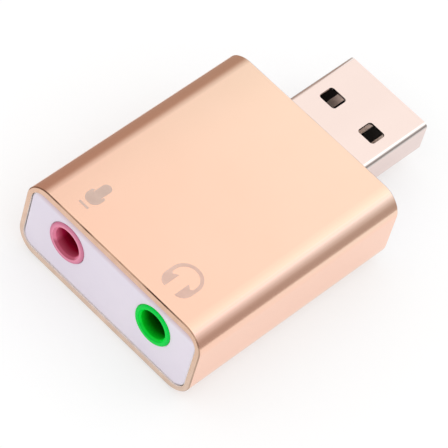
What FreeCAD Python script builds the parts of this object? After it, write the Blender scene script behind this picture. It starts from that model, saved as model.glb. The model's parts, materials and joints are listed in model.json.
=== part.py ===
import FreeCAD, Part
import math
import os
import re

import Sketcher

# A USB sound card: an aluminium sleeve closed by two plastic caps, with two audio jacks at the front,
# a plug at the back and the circuit board that carries them between the caps.
# X runs across, Y from the jacks to the plug, Z up. The origin is under the middle of the whole length.

# Driving sizes in millimetres, each free to be set by itself
SIZES = {
    # sleeve
    "wall_side": 0.7,
    "wall_top": 0.9,
    "sleeve_corner": 2.8,
    "cavity_corner": 1.7,
    "end_chamfer": 0.12,
    # caps
    "cap_recess": 0.1,
    "cap_plate": 2.0,
    "cap_bevel": 0.12,
    "skirt_wall": 0.55,
    "skirt_length": 4.5,
    "rail_reach": 0.8,
    "rail_height": 0.6,
    "fit_gap": 0.05,
    # room left round what the sleeve holds
    "side_room": 2.05,
    "head_room": 0.5,
    "under_board": 1.2,
    "chip_room": 0.85,
    # circuit board
    "board_thickness": 1.0,
    "board_gap": 0.1,
    "hole_gap": 0.1,
    # audio jacks
    "jack_spacing": 13.1,
    "jack_proud": 0.2,
    "jack_body_width": 6.4,
    "jack_body_height": 5.1,
    "jack_axis_rise": 2.6,
    "nose_diameter": 5.0,
    "nose_bevel": 0.1,
    "entry_diameter": 4.0,
    "entry_depth": 0.3,
    "bore_diameter": 3.6,
    "bore_depth": 3.6,
    "chamber_diameter": 4.2,
    "chamber_depth": 14.35,
    "jack_rear_wall": 0.65,
    "peg_diameter": 1.0,
    "peg_spacing": 6.0,
    # spring leaves of the jacks
    "sleeve_contact_depth": 5.2,
    "ring_contact_depth": 8.4,
    "tip_contact_depth": 11.4,
    "leaf_thickness": 0.2,
    "leaf_height": 1.6,
    "leaf_anchor": 1.0,
    "leaf_run": 2.0,
    "leaf_curl": 0.7,
    "leaf_crest": 1.45,
    "leaf_return": 0.4,
    "tail_width": 0.7,
    "tail_proud": 0.4,
    # plug
    "plug_width": 12.0,
    "plug_height": 4.5,
    "plug_sheet": 0.3,
    "plug_corner": 0.6,
    "plug_reach": 12.8,
    "plug_inside": 6.2,
    "plug_rise": 0.9,
    "seam_width": 0.08,
    "seam_depth": 0.12,
    "window_width": 2.4,
    "window_length": 2.15,
    "window_corner": 0.4,
    "window_spacing": 6.0,
    "window_setback": 6.05,
    "wing_reach": 1.6,
    "wing_length": 2.8,
    "wing_setback": 0.5,
    # tongue and contacts of the plug
    "tongue_thickness": 1.9,
    "tongue_setback": 0.4,
    "tongue_gap": 0.05,
    "tongue_chamfer": 0.3,
    "root_setback": 9.5,
    "strip_width": 1.0,
    "strip_thickness": 0.25,
    "strip_proud": 0.05,
    "strip_setback": 1.2,
    "inner_strip_spacing": 2.0,
    "outer_strip_spacing": 7.0,
    "foot_setoff": 0.15,
    "foot_length": 1.0,
    # converter chip
    "chip_length": 9.9,
    "chip_width": 3.9,
    "chip_height": 1.35,
    "chip_standoff": 0.15,
    "chip_bevel": 0.3,
    "dimple_diameter": 0.8,
    "dimple_depth": 0.1,
    "lead_span": 6.0,
    "lead_pitch": 0.635,
    "lead_width": 0.25,
    "lead_thickness": 0.2,
    "lead_foot": 0.6,
    # small parts
    "crystal_length": 5.0,
    "crystal_width": 3.2,
    "crystal_height": 1.2,
    "crystal_rim": 0.3,
    "crystal_lid": 0.25,
    "brick_length": 3.2,
    "brick_width": 1.6,
    "brick_height": 1.6,
    "brick_pitch": 2.0,
    "chip_part_length": 1.6,
    "chip_part_width": 0.8,
    "capacitor_height": 0.8,
    "resistor_height": 0.45,
    "bead_length": 2.0,
    "bead_width": 1.25,
    "bead_height": 0.85,
}

# Sizes and places that follow from the driving ones
WORKED_OUT = {
    # heights of the stack, from the table up
    "skirt_floor": "wall_top + fit_gap + skirt_wall",
    "board_bottom": "skirt_floor + under_board",
    "board_top": "board_bottom + board_thickness",
    "jack_axis": "board_top + jack_axis_rise",
    "plug_axis": "board_top + plug_rise",
    "skirt_top": "board_top + jack_body_height + head_room",
    "sleeve_height": "skirt_top + skirt_wall + fit_gap + wall_top",
    # half widths, from the middle out
    "skirt_half": "(jack_spacing + jack_body_width) / 2 + side_room",
    "cap_half": "skirt_half + skirt_wall",
    "cavity_half": "cap_half + fit_gap",
    "sleeve_half": "cavity_half + wall_side",
    "board_half": "skirt_half - board_gap",
    "wing_edge": "plug_width / 2 + wing_reach",
    # lengths, from the sleeve's front end back
    "jack_face": "cap_recess - jack_proud",
    "nose_length": "jack_proud + cap_plate",
    "jack_length": "chamber_depth + jack_rear_wall",
    "chip_middle": "jack_face + jack_length + chip_room + lead_span / 2",
    "strip_reach": "foot_setoff + strip_thickness + foot_length",
    "plug_root": "chip_middle + lead_span / 2 + chip_room + strip_reach",
    "sleeve_length": "plug_root + plug_inside",
    "plug_mouth": "sleeve_length + plug_reach",
    "plug_length": "plug_reach + plug_inside",
    "board_front": "cap_recess + cap_plate + board_gap",
    "board_back": "sleeve_length - board_front",
    "front_end": "-(plug_mouth + min(jack_face; 0)) / 2",
    # the tongue's top face and the strips' underside, from the plug's axis
    "tongue_top": "tongue_thickness + plug_sheet - plug_height / 2",
    "strip_top": "tongue_top + strip_proud",
    "strip_bottom": "strip_top - strip_thickness",
}

# How many of each there are
LEADS_PER_SIDE = 14
BRICKS = 3
ROWS_BETWEEN_JACKS = 4
COLUMNS_BETWEEN_JACKS = 3

# How near two places, in millimetres, and the cosine between two directions have to be to count as the same
SAME_PLACE = 0.001
SAME_DIRECTION = 0.999

doc = FreeCAD.newDocument("UsbSoundCard")
sheet = doc.addObject("Spreadsheet::Sheet", "Sizes")
bodies = []


def fill_sheet():
    """Write each driving size as a number and each worked-out one as a formula, under its own name."""
    rows = [(name, str(value)) for name, value in SIZES.items()]
    rows += [(name, f"={text}") for name, text in WORKED_OUT.items()]
    for number, (name, _) in enumerate(rows, start=1):
        sheet.set(f"A{number}", name)
        sheet.setAlias(f"B{number}", name)
    for number, (_, content) in enumerate(rows, start=1):
        sheet.set(f"B{number}", content)
    doc.recompute()


def bind(thing, path, text):
    """Tie a property to a formula in the names of the sheet."""
    thing.setExpression(path, re.sub(r"[a-z][a-z_]+", r"Sizes.\g<0>", text))


def new_body(label, across="0", along="0", up="0"):
    """An empty sub-part whose own origin lies at the place that the formulas give."""
    body = doc.addObject("PartDesign::Body", label)
    body.Label = label
    body.AllowCompound = True
    bind(body, "Placement.Base.x", across)
    bind(body, "Placement.Base.y", along)
    bind(body, "Placement.Base.z", up)
    bodies.append(body)
    return body


def origin_of(body, role):
    """One of the body's own origin planes or axes."""
    return next(item for item in body.Origin.OriginFeatures if item.Role == role)


def new_sketch(body, name, role, offset):
    """A sketch on one of the body's origin planes, moved along that plane's normal."""
    sketch = body.newObject("Sketcher::SketchObject", name)
    sketch.AttachmentSupport = [(origin_of(body, role), "")]
    sketch.MapMode = "FlatFace"
    bind(sketch, "AttachmentOffset.Base.z", offset)
    return sketch


def level_sketch(body, name, up="0"):
    """A sketch seen from above, at a height."""
    return new_sketch(body, name, "XY_Plane", up)


def cross_sketch(body, name, along="0"):
    """A sketch seen from the front, at a place along Y. The plane's normal points at the viewer."""
    return new_sketch(body, name, "XZ_Plane", f"-({along})")


def side_sketch(body, name, across="0"):
    """A sketch seen from the right, with Y across it and Z up, at a place along X."""
    return new_sketch(body, name, "YZ_Plane", across)


def pin_point(sketch, geometry, point, across, up):
    """Hold one point of a sketch at the place that two formulas give."""
    for kind, text in (("DistanceX", across), ("DistanceY", up)):
        index = sketch.addConstraint(Sketcher.Constraint(kind, -1, 1, geometry, point, 1.0))
        bind(sketch, f"Constraints[{index}]", text)


def polygon(sketch, corners):
    """A closed outline of straight lines through corners given as formulas."""
    count = len(corners)
    turns = [2 * math.pi * number / count for number in range(count)]
    points = [FreeCAD.Vector(math.cos(turn), math.sin(turn), 0) for turn in turns]
    first = sketch.GeometryCount
    for number in range(count):
        sketch.addGeometry(Part.LineSegment(points[number], points[(number + 1) % count]), False)
    for number, (across, up) in enumerate(corners):
        following = (number + 1) % count
        sketch.addConstraint(Sketcher.Constraint("Coincident", first + number, 2, first + following, 1))
        pin_point(sketch, first + number, 1, across, up)


def rectangle(sketch, left, right, bottom, top):
    """A rectangle between four formulas."""
    polygon(sketch, [(left, bottom), (right, bottom), (right, top), (left, top)])


def block_outline(sketch, middle_x, middle_y, width, height):
    """A rectangle given by its middle and its two sides."""
    rectangle(
        sketch,
        f"{middle_x} - ({width}) / 2",
        f"{middle_x} + ({width}) / 2",
        f"{middle_y} - ({height}) / 2",
        f"{middle_y} + ({height}) / 2",
    )


def circle(sketch, across, up, radius):
    """A circle round a point given by two formulas."""
    ring = sketch.addGeometry(Part.Circle(FreeCAD.Vector(), FreeCAD.Vector(0, 0, 1), 1.0), False)
    pin_point(sketch, ring, 3, across, up)
    index = sketch.addConstraint(Sketcher.Constraint("Radius", ring, 1.0))
    bind(sketch, f"Constraints[{index}]", radius)


def pad(body, sketch, length, reverse=False, symmetric=False):
    """Add the sketch's outline, drawn out to a length."""
    feature = body.newObject("PartDesign::Pad", f"{sketch.Name}Pad")
    feature.Profile = sketch
    feature.Reversed = reverse
    if symmetric:
        feature.SideType = "Symmetric"
    bind(feature, "Length", length)
    doc.recompute()
    return feature


def cut(body, feature):
    """Work a cutting feature out and make sure that it takes something away."""
    before = body.Shape.Volume
    doc.recompute()
    if not feature.Shape.Volume < before:
        raise RuntimeError(f"{feature.Name} cuts nothing")


def pocket(body, sketch, length=None, reverse=False, symmetric=False):
    """Cut the sketch's outline away, to a length or right through."""
    feature = body.newObject("PartDesign::Pocket", f"{sketch.Name}Pocket")
    feature.Profile = sketch
    feature.Reversed = reverse
    if symmetric:
        feature.SideType = "Symmetric"
    if length:
        bind(feature, "Length", length)
    else:
        feature.Type = "ThroughAll"
    cut(body, feature)


def groove(body, sketch):
    """Cut the sketch's outline away all round the sketch's upright axis."""
    feature = body.newObject("PartDesign::Groove", f"{sketch.Name}Groove")
    feature.Profile = sketch
    feature.ReferenceAxis = (sketch, ["V_Axis"])
    feature.Angle = 360
    cut(body, feature)


def dress(body, kind, size_name, size, wanted):
    """Round or bevel those edges of the body that the test picks."""
    base = body.Tip
    edges = [f"Edge{number}" for number, edge in enumerate(base.Shape.Edges, start=1) if wanted(edge)]
    feature = body.newObject(f"PartDesign::{kind}", f"{base.Name}{kind}")
    feature.Base = (base, edges)
    bind(feature, size_name, size)
    doc.recompute()


def fillet(body, radius, wanted):
    """Round the edges that the test picks."""
    dress(body, "Fillet", "Radius", radius, wanted)


def chamfer(body, size, wanted):
    """Bevel the edges that the test picks."""
    dress(body, "Chamfer", "Size", size, wanted)


def runs_along(edge, axis):
    """True for an edge that keeps to one direction from end to end."""
    ends = [edge.tangentAt(parameter) for parameter in edge.ParameterRange]
    return all(abs(tangent.dot(axis)) > SAME_DIRECTION for tangent in ends)


ACROSS = FreeCAD.Vector(1, 0, 0)
ALONG = FreeCAD.Vector(0, 1, 0)
UP = FreeCAD.Vector(0, 0, 1)


def lengthwise(edge):
    """True for an edge along Y."""
    return runs_along(edge, ALONG)


def on_front_plane(edge):
    """True for an edge that lies in the sub-part's own plane at Y 0."""
    return max(abs(edge.BoundBox.YMin), abs(edge.BoundBox.YMax)) < SAME_PLACE


def outermost(body):
    """A test for edges that reach the body's outermost sides, top or bottom."""
    box = body.Tip.Shape.BoundBox

    def reaches(edge):
        own = edge.BoundBox
        spare = [own.XMin - box.XMin, box.XMax - own.XMax, own.ZMin - box.ZMin, box.ZMax - own.ZMax]
        return min(spare) < SAME_PLACE

    return reaches


def outer_lengthwise(body):
    """A test for edges along Y on the body's outside."""
    reaches = outermost(body)
    return lambda edge: lengthwise(edge) and reaches(edge)


def inner_lengthwise(body):
    """A test for edges along Y that lie inside the body's outer faces."""
    reaches = outermost(body)
    return lambda edge: lengthwise(edge) and not reaches(edge)


def outer_ends(body):
    """A test for the edges round the outside of the body's two ends."""
    reaches = outermost(body)
    return lambda edge: reaches(edge) and not lengthwise(edge)


def value(name):
    """The number that the sheet holds under a name."""
    return float(sheet.get(name))


def make_sleeve():
    """The extruded tube, with polished chamfers round both ends."""
    body = new_body("sleeve", along="front_end")
    outline = cross_sketch(body, "SleeveOutline")
    rectangle(outline, "-sleeve_half", "sleeve_half", "0", "sleeve_height")
    pad(body, outline, "sleeve_length", reverse=True)
    cavity = cross_sketch(body, "SleeveCavity")
    rectangle(cavity, "-cavity_half", "cavity_half", "wall_top", "sleeve_height - wall_top")
    pocket(body, cavity, "sleeve_length")
    fillet(body, "cavity_corner", inner_lengthwise(body))
    fillet(body, "sleeve_corner", outer_lengthwise(body))
    chamfer(body, "end_chamfer", outer_ends(body))


def make_cap(label, along):
    """A cap with a bevelled plate at Y 0, a skirt behind it and rails that hold the board's side edges."""
    body = new_body(label, along=along)
    outline = cross_sketch(body, f"{label}_outline")
    rectangle(outline, "-cap_half", "cap_half", "skirt_floor - skirt_wall", "skirt_top + skirt_wall")
    pad(body, outline, "cap_plate + skirt_length", reverse=True)
    hollow = cross_sketch(body, f"{label}_hollow", "cap_plate")
    rectangle(hollow, "-skirt_half", "skirt_half", "skirt_floor", "skirt_top")
    pocket(body, hollow, "skirt_length")
    fillet(body, "cavity_corner - fit_gap - skirt_wall", inner_lengthwise(body))
    fillet(body, "cavity_corner - fit_gap", outer_lengthwise(body))
    chamfer(body, "cap_bevel", on_front_plane)
    rails = cross_sketch(body, f"{label}_rails", "cap_plate")
    for side in ("-1", "1"):
        inner = f"{side} * (skirt_half - rail_reach)"
        outer = f"{side} * (skirt_half + fit_gap)"
        rectangle(rails, inner, outer, "board_top + fit_gap", "board_top + fit_gap + rail_height")
        rectangle(rails, inner, outer, "board_bottom - fit_gap - rail_height", "board_bottom - fit_gap")
    pad(body, rails, "skirt_length", reverse=True)
    return body


def make_front_cap():
    """The cap with a round hole for each jack's nose."""
    body = make_cap("front_cap", "front_end + cap_recess")
    holes = cross_sketch(body, "NoseHoles")
    for side in ("-1", "1"):
        circle(holes, f"{side} * jack_spacing / 2", "jack_axis", "nose_diameter / 2 + fit_gap")
    pocket(body, holes, "cap_plate")


def make_rear_cap():
    """The cap with an opening for the plug, turned to face the other way."""
    body = make_cap("rear_cap", "front_end + sleeve_length - cap_recess")
    body.Placement.Rotation = FreeCAD.Rotation(UP, 180)
    opening = cross_sketch(body, "PlugOpening")
    block_outline(opening, "0", "plug_axis", "plug_width + 2 * fit_gap", "plug_height + 2 * fit_gap")
    pocket(body, opening, "cap_plate")
    top = value("plug_axis") + value("plug_height") / 2 + value("fit_gap")
    bottom = value("plug_axis") - value("plug_height") / 2 - value("fit_gap")
    half = value("plug_width") / 2 + value("fit_gap")

    def corner(edge):
        middle = edge.CenterOfMass
        at_side = abs(abs(middle.x) - half) < SAME_PLACE
        at_height = min(abs(middle.z - top), abs(middle.z - bottom)) < SAME_PLACE
        return lengthwise(edge) and at_side and at_height

    fillet(body, "plug_corner + fit_gap", corner)


# Which side of a jack each spring leaf is on, and how deep its crest lies
LEAVES = {
    "sleeve_contact": ("-1", "sleeve_contact_depth"),
    "ring_contact": ("1", "ring_contact_depth"),
    "tip_contact": ("-1", "tip_contact_depth"),
}


def make_jack(name, side):
    """One jack: a moulded housing with a round nose, and its three spring leaves."""
    place = {"across": f"{side} * jack_spacing / 2", "along": "front_end + jack_face", "up": "jack_axis"}
    make_jack_housing(f"{name}_jack_housing", place)
    for leaf, (leaf_side, crest) in LEAVES.items():
        make_leaf(f"{name}_jack_{leaf}", place, leaf_side, crest)


def make_jack_housing(label, place):
    """The moulding. Its own origin lies on the jack's axis, at the nose's face."""
    body = new_body(label, **place)
    block = cross_sketch(body, f"{label}_block", "nose_length")
    half = "jack_body_width / 2"
    rectangle(block, f"-{half}", half, "-jack_axis_rise", "jack_body_height - jack_axis_rise")
    pad(body, block, "jack_length - nose_length", reverse=True)
    nose = cross_sketch(body, f"{label}_nose")
    circle(nose, "0", "0", "nose_diameter / 2")
    pad(body, nose, "nose_length", reverse=True)
    chamfer(body, "nose_bevel", on_front_plane)
    pegs = level_sketch(body, f"{label}_pegs", "-jack_axis_rise")
    for end in ("-1", "1"):
        circle(pegs, "0", f"(nose_length + jack_length + {end} * peg_spacing) / 2", "peg_diameter / 2")
    pad(body, pegs, "board_thickness", reverse=True)
    hole = level_sketch(body, f"{label}_hole")
    hole_corners = [
        ("0", "0"),
        ("entry_diameter / 2", "0"),
        ("bore_diameter / 2", "entry_depth"),
        ("bore_diameter / 2", "bore_depth"),
        ("chamber_diameter / 2", "bore_depth"),
        ("chamber_diameter / 2", "chamber_depth"),
        ("0", "chamber_depth"),
    ]
    polygon(hole, hole_corners)
    groove(body, hole)
    for leaf, (leaf_side, crest) in LEAVES.items():
        cut_leaf_seat(body, f"{label}_{leaf}", leaf_side, crest)


def cut_leaf_seat(body, name, side, crest):
    """A slot into the chamber for the leaf to spring in, and a shallow seat for its anchor and tail."""
    anchor_front = f"{crest} + leaf_run"
    anchor_back = f"{crest} + leaf_run + leaf_anchor + hole_gap"
    upper = "leaf_height / 2 + hole_gap"
    lower = "-leaf_height / 2 - hole_gap"
    to_the_right = side == "1"
    slot = side_sketch(body, f"{name}_slot")
    rectangle(slot, f"{crest} - leaf_curl - hole_gap", anchor_front, lower, upper)
    pocket(body, slot, reverse=to_the_right)
    seat = side_sketch(body, f"{name}_seat", f"{side} * (jack_body_width / 2 - leaf_thickness)")
    tail_front = f"{crest} + leaf_run + leaf_anchor - tail_width - hole_gap"
    under = "-jack_axis_rise - hole_gap"
    seat_corners = [
        (anchor_front, upper),
        (anchor_front, lower),
        (tail_front, lower),
        (tail_front, under),
        (anchor_back, under),
        (anchor_back, upper),
    ]
    polygon(seat, seat_corners)
    pocket(body, seat, reverse=to_the_right)


def make_leaf(label, place, side, crest):
    """A bent strip: a flat anchor, a spring arm up to its crest and back, and a tail through the board."""
    body = new_body(label, **place)
    outer = f"{side} * jack_body_width / 2"
    inner = f"{side} * (jack_body_width / 2 - leaf_thickness)"
    back = f"{crest} + leaf_run + leaf_anchor"
    bend = f"{crest} + leaf_run"
    tip = f"{crest} - leaf_curl"
    bent = level_sketch(body, f"{label}_bend")
    bent_corners = [
        (outer, back),
        (outer, bend),
        (f"{side} * (leaf_crest + leaf_thickness)", crest),
        (f"{side} * (leaf_crest + leaf_return + leaf_thickness)", tip),
        (f"{side} * (leaf_crest + leaf_return)", tip),
        (f"{side} * leaf_crest", crest),
        (inner, bend),
        (inner, back),
    ]
    polygon(bent, bent_corners)
    pad(body, bent, "leaf_height", symmetric=True)
    tail = level_sketch(body, f"{label}_tail")
    rectangle(tail, outer, inner, f"{back} - tail_width", back)
    pad(body, tail, "jack_axis_rise + board_thickness + tail_proud", reverse=True)


def make_board():
    """The circuit board, with slots for tails and legs, holes for pegs and a notch for the plug."""
    body = new_body("circuit_board", along="front_end")
    outline = level_sketch(body, "BoardOutline", "board_bottom")
    rectangle(outline, "-board_half", "board_half", "board_front", "board_back")
    pad(body, outline, "board_thickness")
    notch = level_sketch(body, "PlugNotch", "board_bottom")
    notch_half = "(plug_width / 2 + hole_gap)"
    rectangle(notch, f"-{notch_half}", notch_half, "plug_root - hole_gap", "board_back + hole_gap")
    pocket(body, notch, reverse=True)
    holes = level_sketch(body, "BoardHoles", "board_bottom")
    for jack_side in ("-1", "1"):
        middle = f"{jack_side} * jack_spacing / 2"
        for end in ("-1", "1"):
            along = f"jack_face + (nose_length + jack_length + {end} * peg_spacing) / 2"
            circle(holes, middle, along, "peg_diameter / 2 + hole_gap")
        for leaf_side, crest in LEAVES.values():
            outer = f"{middle} + {leaf_side} * (jack_body_width / 2 + hole_gap)"
            inner = f"{middle} + {leaf_side} * (jack_body_width / 2 - leaf_thickness - hole_gap)"
            back = f"jack_face + {crest} + leaf_run + leaf_anchor + hole_gap"
            rectangle(holes, outer, inner, f"{back} - tail_width - 2 * hole_gap", back)
        leg_outer = f"{jack_side} * (wing_edge + hole_gap)"
        leg_inner = f"{jack_side} * (wing_edge - plug_sheet - hole_gap)"
        leg_front = "plug_root + wing_setback - hole_gap"
        rectangle(holes, leg_outer, leg_inner, leg_front, f"{leg_front} + wing_length + 2 * hole_gap")
    pocket(body, holes, reverse=True)


def make_plug_body(label):
    """An empty sub-part of the plug. Its own origin lies on the plug's axis, at the mouth."""
    return new_body(label, along="front_end + plug_mouth", up="plug_axis")


def make_usb_shell():
    """The folded sheet shell, with a seam below, two windows above and below and a wing on each side."""
    body = make_plug_body("usb_shell")
    outline = cross_sketch(body, "ShellOutline")
    block_outline(outline, "0", "0", "plug_width", "plug_height")
    pad(body, outline, "plug_length")
    fillet(body, "plug_corner", lengthwise)
    hollow = cross_sketch(body, "ShellHollow")
    block_outline(hollow, "0", "0", "plug_width - 2 * plug_sheet", "plug_height - 2 * plug_sheet")
    pocket(body, hollow, "plug_length", reverse=True)
    fillet(body, "plug_corner - plug_sheet", inner_lengthwise(body))
    windows = level_sketch(body, "ShellWindows")
    for side in ("-1", "1"):
        middle = f"{side} * window_spacing / 2"
        block_outline(windows, middle, "-window_setback", "window_width", "window_length")
    pocket(body, windows, symmetric=True)
    twice_sheet = 2 * value("plug_sheet")
    fillet(body, "window_corner", lambda edge: runs_along(edge, UP) and edge.Length < twice_sheet)
    seam = cross_sketch(body, "ShellSeam")
    block_outline(seam, "0", "-plug_height / 2", "seam_width", "2 * seam_depth")
    pocket(body, seam, "plug_length", reverse=True)
    wings = cross_sketch(body, "ShellWings", "wing_setback + wing_length - plug_length")
    for side in ("-1", "1"):
        board_top = "-plug_rise"
        leg_end = "-plug_rise - board_thickness - tail_proud"
        wing_corners = [
            (f"{side} * (plug_width / 2 - plug_sheet / 2)", board_top),
            (f"{side} * (plug_width / 2 - plug_sheet / 2)", f"{board_top} + plug_sheet"),
            (f"{side} * wing_edge", f"{board_top} + plug_sheet"),
            (f"{side} * wing_edge", leg_end),
            (f"{side} * (wing_edge - plug_sheet)", leg_end),
            (f"{side} * (wing_edge - plug_sheet)", board_top),
        ]
        polygon(wings, wing_corners)
    pad(body, wings, "wing_length")


# Where each strip lies across the plug
STRIPS = {
    "usb_power_contact": "outer_strip_spacing / 2",
    "usb_data_minus_contact": "inner_strip_spacing / 2",
    "usb_data_plus_contact": "-inner_strip_spacing / 2",
    "usb_ground_contact": "-outer_strip_spacing / 2",
}


def make_usb_tongue():
    """The moulded tongue, with a full-height root and a channel for each strip."""
    body = make_plug_body("usb_tongue")
    inner_half = "(plug_width / 2 - plug_sheet - tongue_gap)"
    inner_floor = "plug_sheet - plug_height / 2"
    tongue = cross_sketch(body, "Tongue", "-tongue_setback")
    rectangle(tongue, f"-{inner_half}", inner_half, inner_floor, "tongue_top")
    pad(body, tongue, "plug_length - tongue_setback")
    chamfer(body, "tongue_chamfer", front_top_edge(body))
    root = cross_sketch(body, "TongueRoot", "-root_setback")
    rectangle(root, f"-{inner_half}", inner_half, inner_floor, "plug_height / 2 - plug_sheet - tongue_gap")
    pad(body, root, "plug_length - root_setback")
    fillet(body, "plug_corner - plug_sheet", corner_lengthwise(body))
    channels = cross_sketch(body, "TongueChannels", "-strip_setback")
    half = "(strip_width / 2 + tongue_gap)"
    channel_top = "strip_top + tongue_gap"
    for place in STRIPS.values():
        rectangle(channels, f"{place} - {half}", f"{place} + {half}", "strip_bottom", channel_top)
    pocket(body, channels, reverse=True)


def front_top_edge(body):
    """A test for the upper edge across the body's front end."""
    box = body.Tip.Shape.BoundBox

    def wanted(edge):
        middle = edge.CenterOfMass
        at_front = abs(middle.y - box.YMax) < SAME_PLACE
        at_top = abs(middle.z - box.ZMax) < SAME_PLACE
        return runs_along(edge, ACROSS) and at_front and at_top

    return wanted


def corner_lengthwise(body):
    """A test for edges along Y at the corners of the body's outer box."""
    box = body.Tip.Shape.BoundBox

    def wanted(edge):
        middle = edge.CenterOfMass
        at_side = min(abs(middle.x - box.XMin), abs(middle.x - box.XMax)) < SAME_PLACE
        at_height = min(abs(middle.z - box.ZMin), abs(middle.z - box.ZMax)) < SAME_PLACE
        return lengthwise(edge) and at_side and at_height

    return wanted


def make_strips():
    """The four contact strips, each bent down behind the root to a foot on the board."""
    for label, place in STRIPS.items():
        body = make_plug_body(label)
        side = side_sketch(body, f"{label}_side", place)
        riser_front = "-plug_length - foot_setoff"
        riser_back = "-plug_length - foot_setoff - strip_thickness"
        side_corners = [
            ("-strip_setback", "strip_bottom"),
            ("-strip_setback", "strip_top"),
            (riser_back, "strip_top"),
            (riser_back, "strip_thickness - plug_rise"),
            ("-plug_length - strip_reach", "strip_thickness - plug_rise"),
            ("-plug_length - strip_reach", "-plug_rise"),
            (riser_front, "-plug_rise"),
            (riser_front, "strip_bottom"),
        ]
        polygon(side, side_corners)
        pad(body, side, "strip_width", symmetric=True)


def make_chip():
    """The converter chip: a moulded body with bevelled edges and a dimple by its first lead."""
    place = {"along": "front_end + chip_middle", "up": "board_top"}
    body = new_body("codec_chip", **place)
    outline = level_sketch(body, "ChipOutline", "chip_standoff")
    block_outline(outline, "0", "0", "chip_length", "chip_width")
    pad(body, outline, "chip_height")
    box = body.Tip.Shape.BoundBox
    chamfer(body, "chip_bevel", lambda edge: edge.BoundBox.ZMin > box.ZMax - SAME_PLACE)
    dimple = level_sketch(body, "ChipDimple", "chip_standoff + chip_height")
    dimple_place = ("dimple_diameter - chip_length / 2", "dimple_diameter - chip_width / 2")
    circle(dimple, *dimple_place, "dimple_diameter / 2")
    pocket(body, dimple, "dimple_depth")

    leads = new_body("codec_leads", **place)
    first = f"-{LEADS_PER_SIDE - 1} * lead_pitch / 2"
    bent = side_sketch(leads, "LeadBend", first)
    middle = "chip_standoff + chip_height / 2"
    for side in ("-1", "1"):
        knee = f"{side} * (lead_span / 2 - lead_foot)"
        knee_out = f"{side} * (lead_span / 2 - lead_foot + lead_thickness)"
        bent_corners = [
            (f"{side} * chip_width / 2", f"{middle} - lead_thickness / 2"),
            (f"{side} * chip_width / 2", f"{middle} + lead_thickness / 2"),
            (knee_out, f"{middle} + lead_thickness / 2"),
            (knee_out, "lead_thickness"),
            (f"{side} * lead_span / 2", "lead_thickness"),
            (f"{side} * lead_span / 2", "0"),
            (knee, "0"),
            (knee, f"{middle} - lead_thickness / 2"),
        ]
        polygon(bent, bent_corners)
    one_pair = pad(leads, bent, "lead_width", symmetric=True)
    row = leads.newObject("PartDesign::LinearPattern", "LeadRow")
    row.Originals = [one_pair]
    row.Direction = (origin_of(leads, "X_Axis"), [""])
    row.Occurrences = LEADS_PER_SIDE
    bind(row, "Length", f"{LEADS_PER_SIDE - 1} * lead_pitch")
    leads.Tip = row
    doc.recompute()


def make_crystal():
    """The crystal: a flat can beside the chip, with a lid set in from its rim."""
    across = "-(board_half + chip_length / 2) / 2"
    body = new_body("crystal", across=across, along="front_end + chip_middle", up="board_top")
    base = level_sketch(body, "CrystalBase")
    block_outline(base, "0", "0", "crystal_width", "crystal_length")
    pad(body, base, "crystal_height - crystal_lid")
    lid = level_sketch(body, "CrystalLid")
    block_outline(lid, "0", "0", "crystal_width - 2 * crystal_rim", "crystal_length - 2 * crystal_rim")
    pad(body, lid, "crystal_height")


def make_small_parts():
    """The capacitors, resistors and beads, one node of separate blocks for each kind."""
    bricks = new_body("coupling_capacitors", along="front_end + chip_middle", up="board_top")
    brick_plan = level_sketch(bricks, "BrickPlan")
    for number in range(BRICKS):
        across = f"(board_half + chip_length / 2) / 2 + {number - (BRICKS - 1) / 2} * brick_pitch"
        block_outline(brick_plan, across, "0", "brick_width", "brick_length")
    pad(bricks, brick_plan, "brick_height")

    capacitors = new_body("ceramic_capacitors", along="front_end", up="board_top")
    capacitor_plan = level_sketch(capacitors, "CapacitorPlan")
    resistors = new_body("resistors", along="front_end", up="board_top")
    resistor_plan = level_sketch(resistors, "ResistorPlan")
    lane = "(jack_spacing - jack_body_width)"
    lane_length = "(jack_face + jack_length - board_front)"
    for column in range(COLUMNS_BETWEEN_JACKS):
        plan = resistor_plan if column == COLUMNS_BETWEEN_JACKS - 1 else capacitor_plan
        across = f"{column + 0.5} * {lane} / {COLUMNS_BETWEEN_JACKS} - {lane} / 2"
        for row in range(ROWS_BETWEEN_JACKS):
            along = f"board_front + {row + 0.5} * {lane_length} / {ROWS_BETWEEN_JACKS}"
            block_outline(plan, across, along, "chip_part_width", "chip_part_length")
    pad(capacitors, capacitor_plan, "capacitor_height")
    pad(resistors, resistor_plan, "resistor_height")

    beads = new_body("ferrite_beads", along="front_end", up="board_top")
    bead_plan = level_sketch(beads, "BeadPlan")
    for side in ("-1", "1"):
        across = f"{side} * (wing_edge + skirt_half - rail_reach) / 2"
        block_outline(bead_plan, across, "(plug_root + board_back) / 2", "bead_width", "bead_length")
    pad(beads, bead_plan, "bead_height")


def check_model():
    """Stop if any object failed or any sub-part has no sound shape."""
    doc.recompute()
    for thing in doc.Objects:
        if "Invalid" in thing.State or "Error" in thing.State:
            raise RuntimeError(f"{thing.Label} failed")
    for body in bodies:
        if body.Shape.isNull() or not body.Shape.isValid():
            raise RuntimeError(f"{body.Label} has no sound shape")


def write_parts():
    """Write each sub-part to a file of its own."""
    os.makedirs("parts", exist_ok=True)
    for body in bodies:
        body.Shape.exportStep(f"parts/{body.Label}.step")


fill_sheet()
make_sleeve()
make_front_cap()
make_rear_cap()
make_board()
make_jack("mic", "-1")
make_jack("headphone", "1")
make_usb_shell()
make_usb_tongue()
make_strips()
make_chip()
make_crystal()
make_small_parts()
check_model()
write_parts()
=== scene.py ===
import json
import math

import bmesh
import bpy
from mathutils import Matrix, Vector


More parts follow.
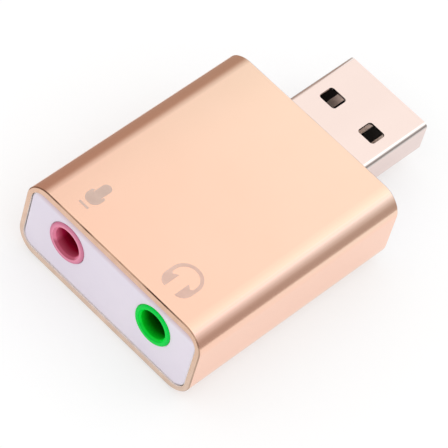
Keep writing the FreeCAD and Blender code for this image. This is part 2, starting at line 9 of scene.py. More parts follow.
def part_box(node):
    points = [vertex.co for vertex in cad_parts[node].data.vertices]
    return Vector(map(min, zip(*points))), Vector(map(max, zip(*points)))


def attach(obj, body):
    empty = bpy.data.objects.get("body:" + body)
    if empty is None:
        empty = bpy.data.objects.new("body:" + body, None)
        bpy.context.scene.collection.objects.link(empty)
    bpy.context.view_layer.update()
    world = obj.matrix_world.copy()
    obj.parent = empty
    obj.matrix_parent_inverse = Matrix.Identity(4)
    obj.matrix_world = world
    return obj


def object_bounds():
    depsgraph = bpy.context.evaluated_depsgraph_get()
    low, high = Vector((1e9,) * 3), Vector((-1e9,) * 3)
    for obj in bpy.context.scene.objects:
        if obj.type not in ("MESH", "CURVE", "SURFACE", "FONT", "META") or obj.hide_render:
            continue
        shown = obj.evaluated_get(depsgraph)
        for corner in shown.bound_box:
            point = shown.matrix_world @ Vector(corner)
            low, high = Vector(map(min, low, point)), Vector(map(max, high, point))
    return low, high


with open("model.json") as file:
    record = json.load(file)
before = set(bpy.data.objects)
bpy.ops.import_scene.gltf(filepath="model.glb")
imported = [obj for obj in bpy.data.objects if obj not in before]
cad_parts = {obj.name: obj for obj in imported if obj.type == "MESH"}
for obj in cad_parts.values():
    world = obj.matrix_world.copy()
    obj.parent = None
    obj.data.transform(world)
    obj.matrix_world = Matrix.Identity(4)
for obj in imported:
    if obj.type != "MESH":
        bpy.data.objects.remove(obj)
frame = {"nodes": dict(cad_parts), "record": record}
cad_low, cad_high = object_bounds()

MM = 0.001
BODY = "root"
WHITE = (1.0, 1.0, 1.0)
BLACK = (0.0, 0.0, 0.0, 1.0)

# Boxes of the nodes, and places of the mounts, that the looks are laid out from
SLEEVE_LOW, SLEEVE_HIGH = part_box("sleeve")
SLEEVE_MIDDLE = (SLEEVE_LOW + SLEEVE_HIGH) / 2
JACK_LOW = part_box("mic_jack_housing")[0]
CAP_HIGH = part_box("front_cap")[1]
MOUNTS = {mount["name"]: Vector(mount["pos_m"]) for mount in frame["record"]["mounts"]}

# Camera: where the photograph was taken from, in degrees and metres; its aim is given from the foot of the
# sleeve's front end
CAMERA_AZIMUTH = 31.228
CAMERA_ELEVATION = 51.763
CAMERA_ROLL = 17.787
CAMERA_DISTANCE = 386.278 * MM
CAMERA_AIM = Vector((0.298, 17.758, 2.756)) * MM
CAMERA_LENS = 289.437
CAMERA_SENSOR = 36.0
CAMERA_CLIP = (0.01, 20.0)

# Studio: a white tent that glows a little more behind the part, a white floor and one wide soft lamp
TENT_COLOUR = (1.0, 1.0, 1.0, 1.0)
TENT_STRENGTH = 1.0
LIGHT_FROM = Vector((0.26, 0.53, 0.81))
GLOW_STRENGTH = 1.30
GLOW_REACH = 43.0
FLOOR_COLOUR = (0.97, 0.97, 0.97, 1.0)
FLOOR_WHITE = 0.5
FLOOR_SIDE = 6.0
FLOOR_DROP = 0.02 * MM
LAMP_ANGLE = 48.0
LAMP_STRENGTH = 0.17

# Glowing tan cards close by on both sides that only reflections see, each glowing tan at its foot and fading
# to white up its height
LEFT_CARD = {
    "x": -22.5 * MM,
    "ys": (-60.0 * MM, 34.0 * MM),
    "zs": (0.0, 44.0 * MM),
    "low": (0.45, 0.33, 0.28),
    "high": (0.97, 0.97, 0.97),
    "fade": (0.40, 0.72),
}
RIGHT_CARD = {
    "x": 38.0 * MM,
    "ys": (-60.0 * MM, 60.0 * MM),
    "zs": (0.0, 44.0 * MM),
    "low": (0.48, 0.41, 0.39),
    "high": (1.06, 1.06, 1.06),
    "fade": (0.33, 0.95),
}

# Noise that the finishes share: its detail, the part of its range that is used, and a grain alike on all axes
NOISE_DETAIL = 3.0
NOISE_LOW = 0.3
NOISE_HIGH = 0.7
EVEN = (1.0, 1.0, 1.0)
DRIFT_PER_METRE = 180.0
GRAIN_STRENGTH = 0.35

# Rose-gold sleeve: blasted outside, turned on its two ends, with a painted dark reflection round each end's
# edge. Its tint goes by how far the surface is turned to the right, with a painted highlight there, and its
# side walls are painted a little brighter as painted light
# Pinker towards the front, paler and yellower towards the back
ROSE_FRONT = (0.965, 0.620, 0.470)
ROSE_BACK = (0.965, 0.698, 0.536)
CLOUD_DARK = (0.985, 0.975, 0.965)
CLOUD_LIGHT = WHITE
CLOUD_PER_METRE = 90.0
EDGE_SLOPE = (0.4, 0.5)
END_SLOPE = (0.9, 0.95)
TURNED_PER_METRE = 900.0
TURNED_DARK = (0.83, 0.565, 0.44)
TURNED_LIGHT = (0.91, 0.64, 0.51)
# Painted light on the turned ends: greyer towards their foot and warmer towards their head
TURNED_PAINTED_LIGHT_FOOT = (0.86, 0.95, 0.97)
TURNED_PAINTED_LIGHT_HEAD = (0.88, 0.83, 0.76)
# Painted light: the walls of the sleeve's hollow are near white, so that the shaded gap round the cap looks
# lit
MOUTH_PAINTED_LIGHT_LOW = (0.94, 0.88, 0.85)
MOUTH_PAINTED_LIGHT_HIGH = (0.98, 0.93, 0.90)
MOUTH_BLUR = 0.1 * MM
# Painted highlight: a whiter tint on the rounding that faces right, with faint tints on down to the side wall
ROUND_PAINTED_HIGHLIGHT = (
    (0.25, WHITE),
    (0.52, (0.99, 1.05, 1.17)),
    (0.78, (0.97, 0.98, 0.99)),
    (0.95, (1.01, 1.02, 1.04)),
)
WALL_SLOPE = (0.95, 1.0)
# Painted light: the upright side walls are rose painted a little brighter and pinker than the top
WALL_PAINTED_LIGHT_LOW = (0.985, 0.636, 0.493)
WALL_PAINTED_LIGHT_HIGH = (1.0, 0.652, 0.510)
# Painted reflection: a dark line round each end's chamfer, broken up by noise, stands in for what the
# polished chamfer reflects
EDGE_PER_METRE = 160.0
EDGE_PAINTED_REFLECTION_DARK = (0.10, 0.05, 0.03)
EDGE_PAINTED_REFLECTION_LIGHT = (0.66, 0.42, 0.29)
EDGE_RANGE = (0.38, 0.62)
EDGE_SIDE_SLOPE = (0.3, 0.6)
EDGE_SIDE_SHARE = 0.55
BLAST_PER_METRE = 9000.0
BLAST_DETAIL = 2.0
BLAST_ROUGH = (0.17, 0.23)
BLAST_DEPTH = 0.003 * MM

# Plug's shell: its colour by how far the sheet is turned from flat to upright, a painted highlight, dark
# reflection and shade
STEEL_DARK = (0.90, 0.735, 0.67)
STEEL_LIGHT = (0.93, 0.765, 0.70)
# Painted highlight near flat, painted dark reflection across the bend, painted shade on the upright sides
STEEL_PAINTED_BEND_LIGHT = (
    (0.08, WHITE),
    (0.28, (1.07, 1.24, 1.32)),
    (0.50, (1.0, 1.12, 1.18)),
    (0.68, (0.62, 0.72, 0.76)),
    (0.93, (0.62, 0.72, 0.76)),
    (1.00, (0.90, 0.90, 0.93)),
)
STEEL_DRAWN = (1.0, 0.05, 1.0)
STEEL_PER_METRE = 2400.0
STEEL_ROUGH = (0.16, 0.24)
STEEL_DEPTH = 0.002 * MM

# Contacts: plated strips with a slight wave
CONTACT_DARK = (0.90, 0.83, 0.77)
CONTACT_LIGHT = (0.96, 0.90, 0.84)
CONTACT_ROUGH = (0.28, 0.36)
CONTACT_WAVES_PER_METRE = 400.0
CONTACT_WAVE_DETAIL = 0.0
CONTACT_WAVE_DEPTH = 0.06 * MM
CONTACT_WAVE_STRENGTH = 1.0

# Caps: white with a trace of lilac, with a painted highlight on their bevels and a painted shadow under the
# sleeve's top wall
CAP_DARK = (0.745, 0.685, 0.785)
CAP_LIGHT = (0.78, 0.72, 0.805)
CAP_BEVEL_SLOPE = (0.9, 0.97)
# Painted highlight on the bevels
CAP_BEVEL_PAINTED_HIGHLIGHT_LOW = (0.90, 0.87, 0.90)
CAP_BEVEL_PAINTED_HIGHLIGHT_HIGH = (0.94, 0.91, 0.93)
# Painted shadow under the sleeve's top wall
CAP_SHADE_DEPTH = 0.95 * MM
CAP_SHADE = (0.76, 0.58, 0.55)
CAP_PER_METRE = 2600.0
CAP_ROUGH = (0.34, 0.42)
CAP_DEPTH = 0.003 * MM

# Etched pictograms
ETCH_METAL = 0.6
ETCH_REACH = 7.0 * MM
ETCH_WARM = (1.10, 1.0, 0.98)
ETCH_PER_METRE = 700.0
ETCH_DARK = (0.63, 0.47, 0.40)
ETCH_LIGHT = (0.71, 0.54, 0.46)
ETCH_GRAINS_PER_METRE = 5000.0
ETCH_ROUGH = (0.5, 0.6)
ETCH_DEPTH = 0.003 * MM

# Jacks: painted shade from the nose's face inwards down the hole, with painted light on its flare, painted
# shade that comes sooner at the foot of the hole, and a painted dark reflection towards the nose's rim
# Painted shade down the hole from the nose's face, with painted light on the flare just inside
SHADE_DEPTH = 2.2 * MM
SHADE_STOPS = (0.02, 0.06, 0.17, 0.60, 1.0)
# Painted shade that comes sooner on the hole's lower wall, kept off the nose's face
FOOT_SHADE_HEIGHTS = (-1.3 * MM, -0.9 * MM)
FOOT_SHADE_RADII = (1.97 * MM, 2.03 * MM)
# Painted dark reflection round the outer part of the nose's face
RIM_RADII = (2.1 * MM, 2.4 * MM)
PINK_JACK = {
    "low": (0.76, 0.26, 0.38),
    "high": (0.82, 0.30, 0.43),
    "painted_depth_shades": (WHITE, (1.08, 1.05, 1.05), (1.2, 0.90, 1.0), (0.78, 0.05, 0.22), (0.50, 0.0, 0.07)),
    "painted_foot_shade": (0.62, 0.42, 0.45),
    "painted_rim_reflection": (0.78, 0.74, 0.78),
}
GREEN_JACK = {
    "low": (0.0, 0.64, 0.052),
    "high": (0.002, 0.71, 0.070),
    "painted_depth_shades": (WHITE, (1.0, 1.25, 1.0), (1.0, 1.20, 0.45), (1.0, 0.28, 0.035), (1.0, 0.12, 0.0)),
    "painted_foot_shade": (1.0, 0.82, 0.8),
    "painted_rim_reflection": (0.6, 0.88, 1.1),
}
JACK_GLOSS = 0.06
JACK_PER_METRE = 1800.0
JACK_ROUGH = (0.24, 0.34)
JACK_DEPTH = 0.003 * MM

# Plain finishes: the two colours that each drifts between, its roughness, its grains a metre and their depth
PLAIN_FINISHES = {
    "black_plastic": {
        "low": (0.005, 0.004, 0.003),
        "high": (0.008, 0.006, 0.005),
        "rough": (0.4, 0.5),
        "grains": 2400.0,
        "depth": 0.004 * MM,
        "gloss": 0.2,
    },
    "board_laminate": {
        "low": (0.02, 0.14, 0.06),
        "high": (0.03, 0.18, 0.08),
        "rough": (0.3, 0.4),
        "grains": 1500.0,
        "depth": 0.01 * MM,
    },
    "black_resin": {
        "low": (0.025, 0.025, 0.025),
        "high": (0.04, 0.04, 0.04),
        "rough": (0.5, 0.6),
        "grains": 6000.0,
        "depth": 0.006 * MM,
    },
    "tinned_metal": {
        "low": (0.72, 0.72, 0.7),
        "high": (0.79, 0.79, 0.77),
        "rough": (0.25, 0.38),
        "grains": 2400.0,
        "depth": 0.003 * MM,
        "metal": 1.0,
    },
    "ochre_resin": {
        "low": (0.58, 0.34, 0.07),
        "high": (0.66, 0.42, 0.1),
        "rough": (0.4, 0.5),
        "grains": 3000.0,
        "depth": 0.005 * MM,
    },
    "tan_ceramic": {
        "low": (0.45, 0.32, 0.2),
        "high": (0.54, 0.4, 0.25),
        "rough": (0.5, 0.6),
        "grains": 3000.0,
        "depth": 0.005 * MM,
    },
    "grey_ferrite": {
        "low": (0.1, 0.1, 0.11),
        "high": (0.14, 0.14, 0.15),
        "rough": (0.5, 0.62),
        "grains": 4000.0,
        "depth": 0.006 * MM,
    },
}

# Pictograms on the top face, in millimetres, from a middle that is given from the middle of the front end
MARK_HEIGHT = 0.012
MARK_STEPS = 24
MIC_MIDDLE = (-7.15, 0.0)
MIC_HEAD_HALF = 0.58
MIC_HEAD_TOP = 6.0
MIC_NOTCH = 4.1
MIC_ARM_INNER = (0.66, 4.42)
MIC_ARM_OUTER = (0.98, 4.24)
MIC_CUP_BELLY = 3.62
MIC_CUP_BOTTOM = 2.64
MIC_CUP_FOOT = 0.32
MIC_BASE = (0.67, 2.24, 1.96)
PHONES_MIDDLE = (6.18, 4.14)
PHONES_RADIUS = 1.95
PHONES_BAND = 0.41
PHONES_CUP_INNER = 0.74
PHONES_CUP_TOP = -0.25
PHONES_CUP_NOTCH = (1.30, -0.64)
PHONES_BAND_FOOT = -0.42
PHONES_CUP_BELLY = -1.0
PHONES_CUP_FOOT = -2.36


def new_material(name):
    """A material with a shader of its own, and the node tree that holds it."""
    material = bpy.data.materials.new(name)
    material.use_nodes = True
    return material, material.node_tree, material.node_tree.nodes["Principled BSDF"]


def part_point(tree):
    """The shaded point in the part's own frame, in metres."""
    return tree.nodes.new("ShaderNodeTexCoord").outputs["Object"]


def part_axis(tree, axis):
    """One coordinate of the shaded point in the part's own frame."""
    split = tree.nodes.new("ShaderNodeSeparateXYZ")
    tree.links.new(part_point(tree), split.inputs["Vector"])
    return split.outputs[axis]


def axis_distance(tree, middle):
    """How far the shaded point lies from the line along Y through a place, in metres."""
    flat = tree.nodes.new("ShaderNodeVectorMath")
    flat.operation = "MULTIPLY_ADD"
    tree.links.new(part_point(tree), flat.inputs[0])
    flat.inputs[1].default_value = (1.0, 0.0, 1.0)
    flat.inputs[2].default_value = (-middle.x, 0.0, -middle.z)
    reach = tree.nodes.new("ShaderNodeVectorMath")
    reach.operation = "LENGTH"
    tree.links.new(flat.outputs["Vector"], reach.inputs[0])
    return reach.outputs["Value"]


def facing(tree, axis):
    """How far the surface faces along an axis, from -1 to 1."""
    split = tree.nodes.new("ShaderNodeSeparateXYZ")
    tree.links.new(tree.nodes.new("ShaderNodeNewGeometry").outputs["True Normal"], split.inputs["Vector"])
    return split.outputs[axis]


def slope_along(tree, axis):
    """How far the surface faces along an axis, either way, from 0 to 1."""
    size = tree.nodes.new("ShaderNodeMath")
    size.operation = "ABSOLUTE"
    tree.links.new(facing(tree, axis), size.inputs[0])
    return size.outputs["Value"]


def facing_in(tree):
    """1 where the sleeve faces its own middle, as the walls of its hollow do, and 0 elsewhere."""
    offset = tree.nodes.new("ShaderNodeVectorMath")
    offset.operation = "SUBTRACT"
    tree.links.new(part_point(tree), offset.inputs[0])
    offset.inputs[1].default_value = SLEEVE_MIDDLE
    outward = tree.nodes.new("ShaderNodeVectorMath")
    outward.operation = "DOT_PRODUCT"
    tree.links.new(offset.outputs["Vector"], outward.inputs[0])
    tree.links.new(tree.nodes.new("ShaderNodeNewGeometry").outputs["True Normal"], outward.inputs[1])
    return between(tree, outward.outputs["Value"], 1.0, 0.0, -MOUTH_BLUR, 0.0)


def noise(tree, per_metre, stretch=EVEN, detail=NOISE_DETAIL):
    """A noise of that many grains a metre, drawn out along an axis by stretch."""
    mapping = tree.nodes.new("ShaderNodeMapping")
    mapping.inputs["Scale"].default_value = stretch
    tree.links.new(part_point(tree), mapping.inputs["Vector"])
    texture = tree.nodes.new("ShaderNodeTexNoise")
    texture.inputs["Scale"].default_value = per_metre
    texture.inputs["Detail"].default_value = detail
    tree.links.new(mapping.outputs["Vector"], texture.inputs["Vector"])
    return texture.outputs["Fac"]


def between(tree, factor, low, high, start=NOISE_LOW, end=NOISE_HIGH):
    """A number that runs from low to high as factor goes from start to end."""
    node = tree.nodes.new("ShaderNodeMapRange")
    node.inputs["From Min"].default_value = start
    node.inputs["From Max"].default_value = end
    node.inputs["To Min"].default_value = low
    node.inputs["To Max"].default_value = high
    tree.links.new(factor, node.inputs["Value"])
    return node.outputs["Result"]


def share(tree, factor, start, end):
    """How far factor has come on its way from start to end, from 0 to 1."""
    return between(tree, factor, 0.0, 1.0, start, end)


def largest(tree, first, second):
    """The larger of two numbers."""
    node = tree.nodes.new("ShaderNodeMath")
    node.operation = "MAXIMUM"
    tree.links.new(first, node.inputs[0])
    tree.links.new(second, node.inputs[1])
    return node.outputs["Value"]


def graded(tree, factor, stops):
    """A colour that runs through stops of a position and a colour as factor goes from 0 to 1."""
    ramp = tree.nodes.new("ShaderNodeValToRGB")
    elements = ramp.color_ramp.elements
    while len(elements) < len(stops):
        elements.new(1.0)
    for element, (position, colour) in zip(elements, stops):
        element.position = position
        element.color = (*colour, 1.0)
    tree.links.new(factor, ramp.inputs["Fac"])
    return ramp.outputs["Color"]


def tint(tree, factor, low, high, start=NOISE_LOW, end=NOISE_HIGH):
    """A colour that runs from low to high as factor goes from start to end."""
    return graded(tree, factor, [(start, low), (end, high)])


def mixed(tree, factor, first, second):
    """The first colour where factor is 0, the second where it is 1."""
    node = tree.nodes.new("ShaderNodeMix")
    node.data_type = "RGBA"
    tree.links.new(factor, node.inputs["Factor"])
    tree.links.new(first, node.inputs["A"])
    tree.links.new(second, node.inputs["B"])
    return node.outputs["Result"]


def multiplied(tree, first, second):
    """Two colours multiplied."""
    node = tree.nodes.new("ShaderNodeMix")
    node.data_type = "RGBA"
    node.blend_type = "MULTIPLY"
    node.inputs["Factor"].default_value = 1.0
    tree.links.new(first, node.inputs["A"])
    tree.links.new(second, node.inputs["B"])
    return node.outputs["Result"]


def roughen(tree, shader, height, depth, strength):
    """Bumps the surface by a height field of that depth, in metres."""
    bump = tree.nodes.new("ShaderNodeBump")
    bump.inputs["Strength"].default_value = strength
    bump.inputs["Distance"].default_value = depth
    tree.links.new(height, bump.inputs["Height"])
    tree.links.new(bump.outputs["Normal"], shader.inputs["Normal"])


def plain_finish(name, low, high, rough, grains, depth, metal=0.0, gloss=0.5):
    """A finish whose colour and roughness drift a little, with a fine grain in relief."""
    material, tree, shader = new_material(name)
    shader.inputs["Metallic"].default_value = metal
    shader.inputs["Specular IOR Level"].default_value = gloss
    drift = noise(tree, DRIFT_PER_METRE)
    tree.links.new(tint(tree, drift, low, high), shader.inputs["Base Color"])
    fine = noise(tree, grains)
    tree.links.new(between(tree, fine, *rough), shader.inputs["Roughness"])
    roughen(tree, shader, fine, depth, GRAIN_STRENGTH)
    return material


def jack_finish(name, mount, low, high, painted_depth_shades, painted_foot_shade, painted_rim_reflection):
    """A moulded jack, with a painted dark reflection round its rim and painted shade down its hole, soonest
    at the foot.
    """
    material, tree, shader = new_material(name)
    shader.inputs["Specular IOR Level"].default_value = JACK_GLOSS
    middle = MOUNTS[mount]
    radius = axis_distance(tree, middle)
    moulded = tint(tree, noise(tree, DRIFT_PER_METRE), low, high)
    # Painted dark reflection round the nose's rim
    painted_ring_reflection = tint(tree, share(tree, radius, *RIM_RADII), WHITE, painted_rim_reflection, 0.0, 1.0)
    # Painted shade down the hole, with painted light on the flare
    depth = share(tree, part_axis(tree, "Y"), JACK_LOW.y, JACK_LOW.y + SHADE_DEPTH)
    shade = graded(tree, depth, list(zip(SHADE_STOPS, painted_depth_shades)))
    # Painted shade sooner on the hole's lower wall, but not on the nose's face
    is_face = share(tree, radius, *FOOT_SHADE_RADII)
    height = share(tree, part_axis(tree, "Z"), *(middle.z + step for step in FOOT_SHADE_HEIGHTS))
    painted_foot_shading = tint(tree, largest(tree, height, is_face), painted_foot_shade, WHITE, 0.0, 1.0)
    face = multiplied(tree, moulded, painted_ring_reflection)
    inside = multiplied(tree, shade, painted_foot_shading)
    tree.links.new(multiplied(tree, face, inside), shader.inputs["Base Color"])
    fine = noise(tree, JACK_PER_METRE)
    tree.links.new(between(tree, fine, *JACK_ROUGH), shader.inputs["Roughness"])
    roughen(tree, shader, fine, JACK_DEPTH, GRAIN_STRENGTH)
    return material


def aluminium_finish(name):
    """Bead-blasted, anodised rose gold, with turned ends, a painted dark reflection round their edges, and
    painted light on its rounding, walls and ends.
    """
    material, tree, shader = new_material(name)
    shader.inputs["Metallic"].default_value = 1.0
    along = share(tree, part_axis(tree, "Y"), SLEEVE_LOW.y, SLEEVE_HIGH.y)
    front_to_back_tone = tint(tree, along, ROSE_FRONT, ROSE_BACK, 0.0, 1.0)
    cloud = tint(tree, noise(tree, CLOUD_PER_METRE), CLOUD_DARK, CLOUD_LIGHT)
    # Painted highlight on the right-facing rounding
    turn = graded(tree, facing(tree, "X"), ROUND_PAINTED_HIGHLIGHT)
    rounded = multiplied(tree, multiplied(tree, front_to_back_tone, cloud), turn)
    # Side walls: painted light, a little brighter and pinker than the top
    wall = tint(tree, noise(tree, CLOUD_PER_METRE), WALL_PAINTED_LIGHT_LOW, WALL_PAINTED_LIGHT_HIGH)
    is_wall = share(tree, slope_along(tree, "X"), *WALL_SLOPE)
    # Painted light on the walls of the hollow
    painted_light_mouth = tint(tree, noise(tree, TURNED_PER_METRE), MOUTH_PAINTED_LIGHT_LOW, MOUTH_PAINTED_LIGHT_HIGH)
    skin = mixed(tree, facing_in(tree), mixed(tree, is_wall, rounded, wall), painted_light_mouth)
    cut = tint(tree, noise(tree, TURNED_PER_METRE), TURNED_DARK, TURNED_LIGHT)
    # Painted light: the turned ends greyer at the foot, warmer at the head
    up = share(tree, part_axis(tree, "Z"), SLEEVE_LOW.z, SLEEVE_HIGH.z)
    turned = multiplied(tree, cut, tint(tree, up, TURNED_PAINTED_LIGHT_FOOT, TURNED_PAINTED_LIGHT_HEAD, 0.0, 1.0))
    # Painted reflection round each end's edge, blended partly into the turned colour where the edge rounds
    # onto the sides
    painted_edge_reflection = tint(tree, noise(tree, EDGE_PER_METRE), EDGE_PAINTED_REFLECTION_DARK, EDGE_PAINTED_REFLECTION_LIGHT, *EDGE_RANGE)
    is_side = between(tree, slope_along(tree, "X"), 0.0, EDGE_SIDE_SHARE, *EDGE_SIDE_SLOPE)
    edge = mixed(tree, is_side, painted_edge_reflection, turned)
    slope = slope_along(tree, "Y")
    outside = mixed(tree, share(tree, slope, *EDGE_SLOPE), skin, edge)
    finished = mixed(tree, share(tree, slope, *END_SLOPE), outside, turned)
    tree.links.new(finished, shader.inputs["Base Color"])
    blast = noise(tree, BLAST_PER_METRE, detail=BLAST_DETAIL)
    tree.links.new(between(tree, blast, *BLAST_ROUGH), shader.inputs["Roughness"])
    roughen(tree, shader, blast, BLAST_DEPTH, GRAIN_STRENGTH)
    return material


def steel_finish(name):
    """Nickel-plated sheet, drawn along the plug, with a painted highlight and a painted dark reflection where
    the sheet bends and painted shade on its sides.
    """
    material, tree, shader = new_material(name)
    shader.inputs["Metallic"].default_value = 1.0
    drawn = tint(tree, noise(tree, DRIFT_PER_METRE, STEEL_DRAWN), STEEL_DARK, STEEL_LIGHT)
    # Painted highlight, dark reflection and shade by how far the sheet is turned
    painted_bend_light = graded(tree, slope_along(tree, "X"), STEEL_PAINTED_BEND_LIGHT)
    tree.links.new(multiplied(tree, drawn, painted_bend_light), shader.inputs["Base Color"])
    fine = noise(tree, STEEL_PER_METRE, STEEL_DRAWN)
    tree.links.new(between(tree, fine, *STEEL_ROUGH), shader.inputs["Roughness"])
    roughen(tree, shader, fine, STEEL_DEPTH, GRAIN_STRENGTH)
    return material


def contact_finish(name):
    """Plated strips, drawn along the plug, with a slight wave that makes them glint."""
    material, tree, shader = new_material(name)
    shader.inputs["Metallic"].default_value = 1.0
    drawn = noise(tree, DRIFT_PER_METRE, STEEL_DRAWN)
    tree.links.new(tint(tree, drawn, CONTACT_DARK, CONTACT_LIGHT), shader.inputs["Base Color"])
    fine = noise(tree, STEEL_PER_METRE, STEEL_DRAWN)
    tree.links.new(between(tree, fine, *CONTACT_ROUGH), shader.inputs["Roughness"])
    wave = noise(tree, CONTACT_WAVES_PER_METRE, detail=CONTACT_WAVE_DETAIL)
    roughen(tree, shader, wave, CONTACT_WAVE_DEPTH, CONTACT_WAVE_STRENGTH)
    return material


def cap_finish(name):
    """White moulded plastic, with a painted highlight on its bevels and a painted shadow just under the
    sleeve's top wall.
    """
    material, tree, shader = new_material(name)
    moulded = tint(tree, noise(tree, DRIFT_PER_METRE), CAP_DARK, CAP_LIGHT)
    # Painted highlight on the bevels
    is_bevel = between(tree, slope_along(tree, "Y"), 1.0, 0.0, *CAP_BEVEL_SLOPE)
    painted_bevel_highlight = tint(tree, noise(tree, DRIFT_PER_METRE), CAP_BEVEL_PAINTED_HIGHLIGHT_LOW, CAP_BEVEL_PAINTED_HIGHLIGHT_HIGH)
    # Painted shadow just under the sleeve's top wall
    height = share(tree, part_axis(tree, "Z"), CAP_HIGH.z - CAP_SHADE_DEPTH, CAP_HIGH.z)
    shade = tint(tree, height, WHITE, CAP_SHADE, 0.0, 1.0)
    face = mixed(tree, is_bevel, moulded, painted_bevel_highlight)
    tree.links.new(multiplied(tree, face, shade), shader.inputs["Base Color"])
    fine = noise(tree, CAP_PER_METRE)
    tree.links.new(between(tree, fine, *CAP_ROUGH), shader.inputs["Roughness"])
    roughen(tree, shader, fine, CAP_DEPTH, GRAIN_STRENGTH)
    return material


def etched_finish(name):
    """Bare matt metal where the pictograms are etched, a little warmer towards the right."""
    material, tree, shader = new_material(name)
    shader.inputs["Metallic"].default_value = ETCH_METAL
    middle = SLEEVE_MIDDLE.x
    across = share(tree, part_axis(tree, "X"), middle - ETCH_REACH, middle + ETCH_REACH)
    warm = tint(tree, across, WHITE, ETCH_WARM, 0.0, 1.0)
    bare = tint(tree, noise(tree, ETCH_PER_METRE), ETCH_DARK, ETCH_LIGHT)
    tree.links.new(multiplied(tree, bare, warm), shader.inputs["Base Color"])
    fine = noise(tree, ETCH_GRAINS_PER_METRE)
    tree.links.new(between(tree, fine, *ETCH_ROUGH), shader.inputs["Roughness"])
    roughen(tree, shader, fine, ETCH_DEPTH, GRAIN_STRENGTH)
    return material


def make_finishes():
    """The finish of each of the record's material slots."""
    finishes = {slot: plain_finish(slot + "_finish", **facts) for slot, facts in PLAIN_FINISHES.items()}
    finishes["rose_aluminium"] = aluminium_finish("rose_aluminium_finish")
    finishes["white_plastic"] = cap_finish("white_plastic_finish")
    finishes["plated_steel"] = steel_finish("plated_steel_finish")
    finishes["contact_brass"] = contact_finish("contact_brass_finish")
    finishes["pink_plastic"] = jack_finish("pink_plastic_finish", "mic_jack", **PINK_JACK)
    finishes["green_plastic"] = jack_finish("green_plastic_finish", "headphone_jack", **GREEN_JACK)
    return finishes


def dress_nodes(finishes):
    """Gives each carried-over node the finish of its slot."""
    for node in frame["nodes"].values():
        for index, old in enumerate(list(node.data.materials)):
            node.data.materials[index] = finishes[old.name]


def arc(middle, radii, start, end, steps=MARK_STEPS):
    """Points along an ellipse's arc, from one angle to another, in degrees."""
    angles = [math.radians(start + (end - start) * step / steps) for step in range(steps + 1)]
    return [(middle[0] + radii[0] * math.cos(a), middle[1] + radii[1] * math.sin(a)) for a in angles]


def mirrored(points):
    """The same points on the other side, in the order that goes on round the outline."""
    return [(-x, y) for x, y in reversed(points)]


def mic_outlines():
    """A microphone: its head in a cup whose arms stand clear of it, and a dash below for the base."""
    head = arc((0.0, MIC_HEAD_TOP - MIC_HEAD_HALF), (MIC_HEAD_HALF, MIC_HEAD_HALF), 90.0, 0.0)
    notch = [(MIC_HEAD_HALF, MIC_NOTCH), (MIC_ARM_INNER[0], MIC_NOTCH)]
    foot_angle = -math.degrees(math.acos(MIC_CUP_FOOT / MIC_ARM_OUTER[0]))
    cup = arc((0.0, MIC_CUP_BELLY), (MIC_ARM_OUTER[0], MIC_CUP_BELLY - MIC_CUP_BOTTOM), 0.0, foot_angle)
    right = head + notch + [MIC_ARM_INNER, MIC_ARM_OUTER] + cup
    half, top, bottom = MIC_BASE
    base = [(half, top), (half, bottom)]
    return [right + mirrored(right)[:-1], base + mirrored(base)]


def phones_outlines():
    """A pair of headphones: a band with a cup at each end."""
    inner = PHONES_RADIUS - PHONES_BAND
    outside = arc((0.0, 0.0), (PHONES_RADIUS, PHONES_RADIUS), 90.0, 0.0)
    belly_width = PHONES_RADIUS - PHONES_CUP_INNER
    belly_height = PHONES_CUP_BELLY - PHONES_CUP_FOOT
    belly = arc((PHONES_CUP_INNER, PHONES_CUP_BELLY), (belly_width, belly_height), 0.0, -90.0)
    cup_top = [(PHONES_CUP_INNER, PHONES_CUP_TOP), PHONES_CUP_NOTCH, (inner, PHONES_BAND_FOOT)]
    inside = arc((0.0, 0.0), (inner, inner), 0.0, 90.0)
    right_outside = outside + belly
    right_inside = cup_top + inside
    return [right_outside + right_inside + mirrored(right_inside)[1:] + mirrored(right_outside)[:-1]]


def make_mark(name, outlines, middle, finish):
    """A pictogram as a thin plate on the sleeve's top face."""
    shape = bmesh.new()
    centre, front, top = SLEEVE_MIDDLE.x, SLEEVE_LOW.y, SLEEVE_HIGH.z
    for outline in outlines:
        places = [(centre + (middle[0] + x) * MM, front + (middle[1] + y) * MM, top) for x, y in outline]
        shape.faces.new([shape.verts.new(place) for place in places])
    raised = bmesh.ops.extrude_face_region(shape, geom=list(shape.faces))
    lifted = [item for item in raised["geom"] if isinstance(item, bmesh.types.BMVert)]
    bmesh.ops.translate(shape, verts=lifted, vec=(0.0, 0.0, MARK_HEIGHT * MM))
    bmesh.ops.recalc_face_normals(shape, faces=list(shape.faces))
    mesh = bpy.data.meshes.new(name)
    shape.to_mesh(mesh)
    shape.free()
    mesh.materials.append(finish)
    mark = bpy.data.objects.new(name, mesh)
    bpy.context.scene.collection.objects.link(mark)
    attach(mark, BODY)


def make_plane(name, corners, material):
    """A flat stage piece with those four corners."""
    mesh = bpy.data.meshes.new(name)
    mesh.from_pydata([tuple(c) for c in corners], [], [(0, 1, 2, 3)])
    mesh.materials.append(material)
    plane = bpy.data.objects.new(name, mesh)
    bpy.context.scene.collection.objects.link(plane)
    return plane


def dull_material(name):
    """A material with no gloss at all."""
    material, tree, shader = new_material(name)
    shader.inputs["Roughness"].default_value = 1.0
    shader.inputs["Specular IOR Level"].default_value = 0.0
    return material, tree, shader


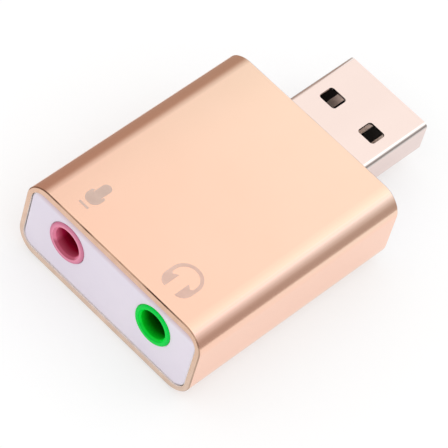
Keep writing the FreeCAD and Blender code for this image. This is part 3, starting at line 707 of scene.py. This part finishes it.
def make_floor():
    """A pale floor, just under the part, kept near white for the camera and for reflections."""
    material, tree, shader = dull_material("floor_finish")
    shader.inputs["Base Color"].default_value = FLOOR_COLOUR
    path = tree.nodes.new("ShaderNodeLightPath")
    seen = largest(tree, path.outputs["Is Camera Ray"], path.outputs["Is Glossy Ray"])
    seen_at_all = largest(tree, seen, path.outputs["Is Transmission Ray"])
    whiteness = between(tree, seen_at_all, 0.0, FLOOR_WHITE, 0.0, 1.0)
    white = tree.nodes.new("ShaderNodeEmission")
    lit = tree.nodes.new("ShaderNodeMixShader")
    tree.links.new(whiteness, lit.inputs["Fac"])
    tree.links.new(shader.outputs["BSDF"], lit.inputs[1])
    tree.links.new(white.outputs["Emission"], lit.inputs[2])
    tree.links.new(lit.outputs["Shader"], tree.nodes["Material Output"].inputs["Surface"])
    half = FLOOR_SIDE / 2
    height = cad_low.z - FLOOR_DROP
    corners = [(-half, -half, height), (half, -half, height), (half, half, height), (-half, half, height)]
    make_plane("floor", corners, material)


def make_card(name, x, ys, zs, low, high, fade):
    """An upright card beside the part that glows, seen in reflections only, its glow fading from its foot up.
    """
    material, tree, shader = dull_material(name + "_finish")
    height = share(tree, part_axis(tree, "Z"), *zs)
    # The card catches no light and lights nothing: it glows its own colour, for reflections only
    shader.inputs["Base Color"].default_value = BLACK
    shader.inputs["Emission Strength"].default_value = 1.0
    tree.links.new(tint(tree, height, low, high, *fade), shader.inputs["Emission Color"])
    corners = [(x, ys[0], zs[0]), (x, ys[1], zs[0]), (x, ys[1], zs[1]), (x, ys[0], zs[1])]
    card = make_plane(name, corners, material)
    card.visible_camera = False
    card.visible_diffuse = False
    card.visible_transmission = False
    card.visible_shadow = False


def make_tent():
    """An even white all round, with a soft glow about one direction."""
    world = bpy.data.worlds.new("tent")
    world.use_nodes = True
    tree = world.node_tree
    background = tree.nodes["Background"]
    background.inputs["Color"].default_value = TENT_COLOUR
    near = tree.nodes.new("ShaderNodeVectorMath")
    near.operation = "DOT_PRODUCT"
    near.inputs[1].default_value = LIGHT_FROM.normalized()
    tree.links.new(tree.nodes.new("ShaderNodeTexCoord").outputs["Generated"], near.inputs[0])
    angle = tree.nodes.new("ShaderNodeMath")
    angle.operation = "ARCCOSINE"
    tree.links.new(near.outputs["Value"], angle.inputs[0])
    reach = math.radians(GLOW_REACH)
    strength = between(tree, angle.outputs["Value"], GLOW_STRENGTH, TENT_STRENGTH, 0.0, reach)
    tree.links.new(strength, background.inputs["Strength"])
    bpy.context.scene.world = world


def make_studio():
    """The floor, the tent, the lamp and the cards."""
    make_floor()
    make_tent()
    lamp = bpy.data.lights.new("soft_lamp", "SUN")
    lamp.angle = math.radians(LAMP_ANGLE)
    lamp.energy = LAMP_STRENGTH
    holder = bpy.data.objects.new("soft_lamp", lamp)
    holder.rotation_euler = LIGHT_FROM.to_track_quat("Z", "Y").to_euler()
    holder.visible_glossy = False
    bpy.context.scene.collection.objects.link(holder)
    make_card("left_card", **LEFT_CARD)
    make_card("right_card", **RIGHT_CARD)


def make_camera():
    """The camera at the photograph's angle, rolled as it was held."""
    azimuth = math.radians(CAMERA_AZIMUTH)
    elevation = math.radians(CAMERA_ELEVATION)
    back = Vector((math.sin(azimuth) * math.cos(elevation),
                   -math.cos(azimuth) * math.cos(elevation),
                   math.sin(elevation)))
    level = Vector((0.0, 0.0, 1.0)).cross(back).normalized()
    upright = back.cross(level)
    roll = math.radians(CAMERA_ROLL)
    right = level * math.cos(roll) + upright * math.sin(roll)
    up = back.cross(right)
    camera = bpy.data.cameras.new("camera")
    camera.lens = CAMERA_LENS
    camera.sensor_width = CAMERA_SENSOR
    camera.clip_start, camera.clip_end = CAMERA_CLIP
    holder = bpy.data.objects.new("camera", camera)
    turn = Matrix((right, up, back)).transposed().to_4x4()
    target = Vector((SLEEVE_MIDDLE.x, SLEEVE_LOW.y, SLEEVE_LOW.z)) + CAMERA_AIM
    holder.matrix_world = Matrix.Translation(target + back * CAMERA_DISTANCE) @ turn
    bpy.context.scene.collection.objects.link(holder)
    bpy.context.scene.camera = holder


def main():
    """Dresses the part and sets the stage."""
    bpy.context.scene.view_settings.view_transform = "Standard"
    dress_nodes(make_finishes())
    etched = etched_finish("etched_mark_finish")
    make_mark("microphone_mark", mic_outlines(), MIC_MIDDLE, etched)
    make_mark("headphones_mark", phones_outlines(), PHONES_MIDDLE, etched)
    make_studio()
    make_camera()


main()
